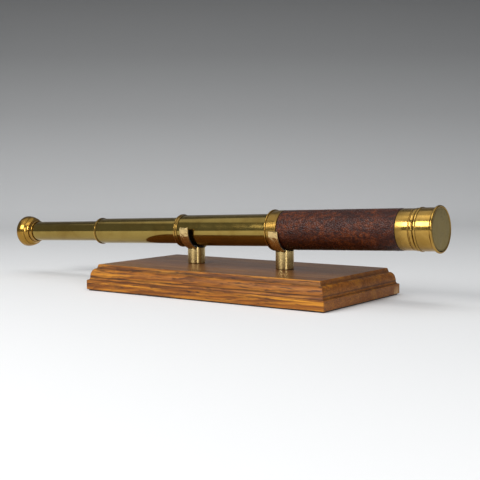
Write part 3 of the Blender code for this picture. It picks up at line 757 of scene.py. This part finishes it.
def build_barrel():
    shoulder = 250.3
    sleeve("barrel_body", BARREL_REAR, shoulder - GAP, BARREL, TUBE_BORE, TUBE_BRASS,
           "barrel", "tarnished_brass", ("barrel_tube",))
    bore, lip, drum = DRAW_3 + GAP, 26.1, BARREL_DRUM
    front, floor = LEATHER_REAR - GAP, BARREL_REAR - GAP
    start = BARREL_LIP
    collar = [
        (start, bore + 0.5, 0.3), (start, lip, 0.75), (start + 1.7, lip, 0.5),
        (start + 1.85, drum - 0.5, 0.15), (start + 2.25, drum - 0.5, 0.1),
        (start + 2.3, drum, 0.1), (start + 12.2, drum, 0.08),
        (start + 12.3, drum - 0.22, 0.05), (start + 12.7, drum - 0.22, 0.05),
        (start + 12.8, drum, 0.08), (front, drum, 0.3), (front, BARREL + GAP),
        (floor, BARREL + GAP), (floor, bore), (start + 0.6, bore, 0.2),
    ]
    lathe("barrel_collar", collar, POLISHED, "barrel",
          ("barrel_rear_collar",), grooves=[(start + 2.05, drum - 0.6, 1.0),
                                            (start + 12.5, drum, 0.5),
                                            (front, drum, 0.7), (start, bore, 0.8)])
    rear, outside, bead, end = LEATHER_FRONT + GAP, 24.42, 24.9, 256.2
    profile = [(rear, BARREL + GAP), (rear, outside, 0.3), (shoulder, outside, 0.15),
               (250.55, outside - 0.5, 0.1), (251.4, outside - 0.5, 0.1),
               (251.65, outside, 0.15), (252.1, outside, 0.1)]
    profile += arc((253.6, outside - 0.3), 1.5, bead - outside + 0.3, 165, 15, 8)
    profile += [(255.5, outside - 0.2, 0.1), (end, outside - 0.9, 0.2), (end, TUBE_BORE),
                (shoulder, TUBE_BORE), (shoulder, BARREL + GAP)]
    lathe("front_ring", profile, POLISHED, "barrel",
          ("barrel_front_ring",), grooves=[(251.0, outside - 0.5, 0.8),
                                           (rear, outside, 0.7), (end, 23.6, 1.2)])
    spigot, body, seat, rim, clear = 21.9, 23.5, 21.1, 20.8, 19.6
    back, stop, mouth = 245.0, end + GAP, 274.5
    cell = [(back, spigot), (stop, spigot), (stop, body, 0.4), (mouth - 1.2, body, 0.1),
            (mouth - 1.1, body - 0.2, 0.05), (mouth, body - 0.5, 0.3),
            (mouth, seat, 0.3), (OBJECTIVE_SEAT, seat), (OBJECTIVE_SEAT, clear),
            (back, clear)]
    lathe("objective_mount", cell, POLISHED, "barrel",
          ("objective_cell",), grooves=[(stop + 0.1, body, 1.0)])
    flint_thick, crown_end, curve = 3.6, 2.6, 0.8
    low = OBJECTIVE_SEAT + GAP + flint_thick
    lens_piece("objective_back", low - flint_thick, low, rim, 0, -curve, "barrel",
               "objective_flint")
    lens_piece("objective_front", low + GAP, low + crown_end, rim, -curve, curve,
               "barrel", "objective_crown")
    rear = low + crown_end + GAP
    ring = [(rear, rim), (rear + 2.4, rim, 0.2), (rear + 2.4, 20.1, 0.2),
            (rear + 1.6, 19.4, 0.15), (rear, 19.4)]
    lathe("objective_lock_ring", ring, POLISHED, "barrel",
          ("objective_retainer",), grooves=[(rear + 2.4, rim, 0.8)])


def lens_piece(name, rear, front, rim, rear_bulge, front_bulge, body, node):
    def face(station, bulge):
        if bulge == 0:
            return [(station, rim * k / 8, 0.0) for k in range(9)]
        curve = (rim * rim + bulge * bulge) / (2 * abs(bulge))
        way = math.copysign(1, bulge)
        spots = []
        for k in range(17):
            h = rim * k / 16
            x = station + bulge - way * (curve - math.sqrt(curve * curve - h * h))
            spots.append((x, h, 0.0))
        return spots

    profile = face(rear, rear_bulge) + list(reversed(face(front, front_bulge)))
    lathe(name, profile, LENS, body, (node,), radius=0.0, closed=False,
          sides=96)


def build_cap():
    inside, outside, bead, flange, ledge = 23.85, 25.13, 25.9, 27.6, 22.4
    thick, rear, shelf = 1.1, 279.9, 276.6
    shell = [(CAP_REAR, inside, 0.15), (CAP_REAR, 25.0, 0.2)]
    shell += arc((CAP_REAR + 1.5, 25.0), 1.35, bead - 25.0, 172, 20, 8)
    shell += [(CAP_REAR + 3.0, outside - 0.1, 0.1), (CAP_REAR + 3.6, outside, 0.1),
              (277.3, outside, 0.3), (277.9, outside + 0.25, 0.2)]
    shell += arc((279.9, flange - 1.55), 1.6, 1.55, 165, -35, 22)
    shell += [(CAP_FRONT - 0.7, 24.95, 0.1), (CAP_FRONT - 0.9, 24.9, 0.05),
              (rear - GAP, 24.9), (rear - GAP, ledge), (shelf, ledge), (shelf, inside)]
    lathe("cap_turned_shell", shell, POLISHED, "dust_cap",
          ("cap_shell",), grooves=[(CAP_REAR + 3.1, outside, 0.8),
                                   (278.0, outside + 0.3, 0.7),
                                   (CAP_FRONT - 0.8, 24.9, 0.7), (CAP_REAR, inside, 1.0)])
    face = rear + thick
    disc = [(rear, 0), (rear, 24.6, 0.1), (face, 24.6, 0.2), (face, 23.6, 0.1),
            (face - 0.12, 23.4, 0.1), (face - 0.12, 22.9, 0.1), (face, 22.7, 0.1),
            (face - 0.02, 14.0, 0.0), (face - 0.10, 7.0, 0.0), (face - 0.16, 2.0, 0.0),
            (face - 0.17, 0)]
    lathe("cap_turned_disc", disc, CAP_FACE, "dust_cap",
          ("cap_disc",), closed=False, grooves=[(face, 24.7, 0.6),
                                                (face - 0.12, 23.15, 0.4)])


def build_collar(number, rear, lip, foot, tube, bore, body):
    drum, length, end_radius = foot
    lip_front, front = rear + LIP_THICK, rear + length
    floor = lip_front + COLLAR_FLOOR
    middle = lip_front + 0.45 * (front - lip_front)
    profile = [
        (rear + 0.5, bore, 0.2), (rear, bore + 0.5, 0.2), (rear, lip, 0.55),
        (lip_front, lip, 0.5), (lip_front + 0.15, drum - 0.1, 0.15),
        (middle, 0.35 * drum + 0.65 * end_radius, 0.6), (front, end_radius, 0.08),
        (front, tube + GAP, 0.03), (floor, tube + GAP), (floor, bore),
    ]
    name = f"draw_{number}_"
    lathe(name + "end_collar", profile, POLISHED, body,
          (name + "collar",), grooves=[(lip_front + 0.2, drum, 0.8),
                                       (front, tube + 0.2, 0.8), (rear, bore, 0.8)])


def build_draws():
    for number, rear, lip, foot, front, tube, bore in (
        (3, DRAW_3_LIP, DRAW_3_LIP_RADIUS, (21.3, 6.0, 20.95), DRAW_3_FRONT,
         (DRAW_3, DRAW_3_BORE), DRAW_2 + GAP),
        (2, DRAW_2_LIP, 18.6, (18.05, 3.4, 17.95), DRAW_2_FRONT,
         (DRAW_2, DRAW_2_BORE), DRAW_1 + GAP),
    ):
        body = f"draw_{number}"
        build_collar(number, rear, lip, foot, tube[0], bore, body)
        sleeve(body + "_drawn", rear + LIP_THICK + COLLAR_FLOOR + GAP, front, *tube, TUBE_BRASS,
               body, "tarnished_brass", (body + "_tube",))
    tube_rear = BELL_FLOOR + EYE_SEAT + GAP
    sleeve("draw_1_drawn", tube_rear, DRAW_1_FRONT, DRAW_1, DRAW_1_BORE, TUBE_BRASS,
           "draw_1", "tarnished_brass", ("draw_1_tube",))


def build_bell():
    shoulder, groove = BELL_NECK - 6.2, BELL_NECK - 11.8
    forward, behind = 10.4, 5.4
    rim = BELL_FACE + behind
    core, high = 18.0, 4.8
    profile = [(BELL_NECK, DRAW_1 + GAP), (BELL_NECK, 15.3, 0.3),
               (BELL_NECK - 0.6, 15.6, 0.2), (shoulder + 1.0, 15.6, 0.2),
               (shoulder + 0.6, 15.1, 0.1), (shoulder, 15.1, 0.05),
               (shoulder - 0.2, 16.6, 0.3)]
    for k in range(9):
        share = k / 8
        profile.append((shoulder - 0.9 - 3.5 * share, 17.0 + 3.0 * share ** 1.7, 0.0))
    profile += [(groove + 1.0, 20.25, 0.2), (groove + 0.8, 19.9, 0.1),
                (groove, 19.9, 0.05), (groove - 0.4, 20.6, 0.2)]
    profile += arc((rim, core), forward, high, 42, 90, 14)
    profile += arc((rim, core), behind, high, 94, 180, 20)
    profile += [(BELL_FACE + 0.5, 17.2, 0.3), (BELL_FLOOR - 0.6, 16.6, 0.2),
                (BELL_FLOOR, 15.9, 0.2), (BELL_FLOOR, EYE_HOLE_RADIUS, 0.3),
                (BELL_FLOOR + 2.0, EYE_HOLE_RADIUS, 0.1), (BELL_FLOOR + EYE_WELL, 7.0),
                (BELL_FLOOR + EYE_WELL, 11.0), (BELL_FLOOR + EYE_SEAT, 11.0),
                (BELL_FLOOR + EYE_SEAT, DRAW_1 + GAP)]
    lathe("eye_end_bell", profile, AGED, "draw_1", ("eye_bell",),
          grooves=[(shoulder + 0.3, 15.1, 1.0), (groove + 0.4, 19.8, 1.1),
                   (BELL_FLOOR, 16.2, 1.6), (BELL_FLOOR, EYE_HOLE_RADIUS, 0.8),
                   (BELL_NECK, 14.2, 0.8)])
    pivot = TELESCOPE @ Matrix.Translation((0, 0, SHUTTER_PIVOT * MM))
    low = BELL_FLOOR - SHUTTER_THICK - 2 * GAP
    screw = [(BELL_FLOOR - 2.7, 0), (BELL_FLOOR - 2.65, 0.9, 0.0),
             (BELL_FLOOR - 2.5, 1.5, 0.2), (BELL_FLOOR - 2.0, 2.0, 0.2), (low, 2.0, 0.1),
             (low, 0.9, 0.05), (BELL_FLOOR + 3.5, 0.9), (BELL_FLOOR + 3.5, 0)]
    lathe("shutter_pin", screw, POLISHED, "draw_1", ("shutter_screw",),
          closed=False, place=pivot, sides=48)


def build_shutter():
    """The cover over the eye hole: a thin turned plate, dished at its middle."""
    cover, ear, steps = 4.6, 2.6, 24
    lean = math.asin((cover - ear) / SHUTTER_PIVOT)
    outline = []
    for k in range(steps + 1):
        a = lean + (math.pi - 2 * lean) * k / steps
        outline.append((ear * math.cos(a), SHUTTER_PIVOT + ear * math.sin(a)))
    for k in range(2 * steps + 1):
        a = math.pi - lean + (math.pi + 2 * lean) * k / (2 * steps)
        outline.append((cover * math.cos(a), cover * math.sin(a)))
    front = BELL_FLOOR - GAP
    rear = front - SHUTTER_THICK
    shape = bmesh.new()
    layer = shape.verts.layers.float.new("groove")
    loops = []
    for x, share in ((front, 0.0), (front, 0.5), (front, 0.97), (front - 0.12, 1.0),
                     (rear + 0.15, 1.0), (rear, 0.96), (rear, 0.5), (rear + 0.1, 0.25)):
        loop = []
        for y, z in outline:
            centre_z = SHUTTER_PIVOT * 0.35
            spot = Vector((x, y * share, centre_z + (z - centre_z) * share))
            vertex = shape.verts.new(spot * MM)
            # Patina and painted shade along the plate's edge that faces the bell.
            vertex[layer] = 0.3 if x == front - 0.12 else 0.0
            loop.append(vertex)
        loops.append(loop)
    bridge(shape, loops)
    shape.faces.new(loops[-1])
    bmesh.ops.remove_doubles(shape, verts=shape.verts, dist=1e-7)
    finish_mesh("shutter_plate", mesh_of(shape, "shutter_plate"), POLISHED,
                "eye_shutter", ("eye_shutter",), TELESCOPE, 40)


def dress_inner_nodes():
    """The pieces inside the tubes and under the board keep their CAD shape."""
    looks = {"polished_brass": POLISHED, "tarnished_brass": TUBE_BRASS,
             "blackened_brass": BLACKENED, "oak": OAK, "leather": LEATHER,
             "felt": BAIZE_AND_PAINTED_SHADOW, "lens_glass": LENS}
    slots = {part["node"]: part["material_slot"] for part in frame["record"]["subparts"]}
    for name, node in frame["nodes"].items():
        if node.hide_render:
            continue
        node.data.materials.clear()
        node.data.materials.append(looks[slots[name]])
        node.data.shade_smooth()
        node.data.set_sharp_from_angle(angle=math.radians(30))


# =========================================================== studio
def studio_paper():
    """Matt paper with painted light falloff: its colour is painted darker with height to the
    camera's upper edge, and painted lighter again above it as a painted reflection, where only
    the brass sees it."""
    n = Nodes("studio_paper")
    # Painted light falloff by height, with a lighter painted band above for the brass to
    # reflect.
    height = n.span(n.axes()[2], 0.0, 1.2)
    painted_falloff = n.ramp(height, [(0.0, 0.86), (0.03, 0.86), (0.09, 0.76), (0.27, 0.50),
                            (0.45, 0.32), (0.64, 0.21), (0.72, 0.30), (1.0, 0.45)])
    n.set(Base_Color=painted_falloff, Roughness=0.75)
    n.set(Specular_IOR_Level=0.25)
    return n.material


def build_studio(forward, side):
    """A pale sweep: floor, curve and wall, across the camera's line of sight."""
    straight, bend, rise = 1.25, 1.1, 3.2
    path = [(-9.0, 0.0), (-1.0, 0.0), (straight, 0.0)]
    for k in range(1, 25):
        a = math.pi / 2 * k / 24
        path.append((straight + bend * math.sin(a), bend * (1 - math.cos(a))))
    path.append((straight + bend, rise))
    mesh = bpy.data.meshes.new("sweep")
    shape = bmesh.new()
    rows = []
    for along, height in path:
        rows.append([
            shape.verts.new(forward * along + side * across + Vector((0, 0, height)))
            for across in (-9, -4, 0, 4, 9)
        ])
    for low, high in zip(rows, rows[1:]):
        for k in range(4):
            shape.faces.new([low[k], low[k + 1], high[k + 1], high[k]])
    shape.to_mesh(mesh)
    shape.free()
    mesh.shade_smooth()
    sweep = bpy.data.objects.new("sweep", mesh)
    bpy.context.scene.collection.objects.link(sweep)
    mesh.materials.append(studio_paper())


def area_light(name, place, target, size, power):
    data = bpy.data.lights.new(name, "AREA")
    data.shape = "RECTANGLE"
    data.size, data.size_y = size
    data.energy = power
    made = bpy.data.objects.new(name, data)
    bpy.context.scene.collection.objects.link(made)
    made.location = place
    made.rotation_mode = "QUATERNION"
    made.rotation_quaternion = (Vector(target) - Vector(place)).to_track_quat("-Z", "Y")


def build_camera_and_lights():
    yaw, pitch = math.radians(CAMERA_YAW), math.radians(CAMERA_PITCH)
    roll = math.radians(CAMERA_ROLL)
    forward = Vector((-math.sin(yaw) * math.cos(pitch), math.cos(yaw) * math.cos(pitch),
                      -math.sin(pitch)))
    right = Vector((math.cos(yaw), math.sin(yaw), 0))
    up = right.cross(forward)
    right, up = (math.cos(roll) * right + math.sin(roll) * up,
                 math.cos(roll) * up - math.sin(roll) * right)
    data = bpy.data.cameras.new("camera")
    data.lens, data.sensor_width = LENS_LENGTH, SENSOR_WIDTH
    camera = bpy.data.objects.new("camera", data)
    bpy.context.scene.collection.objects.link(camera)
    turn = Matrix((right, up, -forward)).transposed().to_4x4()
    camera.matrix_world = Matrix.Translation(CAMERA_PLACE) @ turn
    bpy.context.scene.camera = camera

    ahead = Vector((-math.sin(yaw), math.cos(yaw), 0))
    side = Vector((math.cos(yaw), math.sin(yaw), 0))
    build_studio(ahead, side)
    middle = Vector((0, 0, 0.08))

    def around(azimuth, distance, height):
        """A place by its degrees from -Y towards +X."""
        a = math.radians(azimuth)
        return Vector((math.sin(a) * distance, -math.cos(a) * distance, height))

    above = ahead * 0.15 - side * 0.2
    area_light("overhead", above + Vector((0, 0, 2.0)), above - ahead * 0.1, (3.6, 2.1), 13)
    area_light("key", around(-17, 1.8, 1.10), middle, (1.15, 0.8), 26)
    area_light("second", around(53, 2.0, 0.60), middle, (0.42, 0.85), 8)
    area_light("floor_light", ahead * -1.0 + Vector((0, 0, 1.9)), -ahead * 1.0,
               (2.6, 1.0), 14)

    world = bpy.data.worlds.new("studio")
    bpy.context.scene.world = world
    world.use_nodes = True
    background = world.node_tree.nodes["Background"]
    background.inputs["Color"].default_value = (0.9, 0.95, 1.0, 1)
    background.inputs["Strength"].default_value = 0.22
    view = bpy.context.scene.view_settings
    view.view_transform = "Standard"
    view.look = "None"


build_stand()
build_leather()
build_barrel()
build_cap()
build_draws()
build_bell()
build_shutter()
dress_inner_nodes()
build_camera_and_lights()
